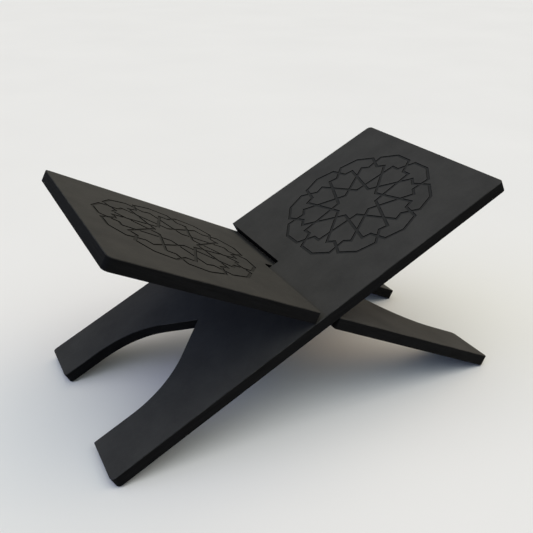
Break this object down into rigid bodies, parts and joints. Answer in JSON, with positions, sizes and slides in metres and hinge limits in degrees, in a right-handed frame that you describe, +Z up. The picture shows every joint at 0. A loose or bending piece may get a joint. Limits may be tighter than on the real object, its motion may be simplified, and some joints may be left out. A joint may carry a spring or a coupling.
{
  "type": "quran stand",
  "caption": "Cross-slotted book stand: flat black boards that interlock in an X, with an engraved star rosette on each reading panel and arched legs.",
  "frame": {"origin": "on the floor, midway between the feet in both directions", "axes": "+X towards the right-hand reading panel, +Y away from the reader along the crossing, +Z up"},
  "size_m": [0.3698, 0.2, 0.191],
  "materials": {
    "right_board": "matt black paint on MDF",
    "left_board": "matt black paint on MDF"
  },
  "bodies": {
    "right_board": {"right_board": "right_board"},
    "left_board": {"left_board": "left_board"}
  },
  "joints": [
    {"name": "fold", "type": "hinge", "parent": "right_board", "child": "left_board", "pos_m": [0, 0, 0.09766], "axis": [0, 1, 0], "range_deg": [0, 72]}
  ]
}
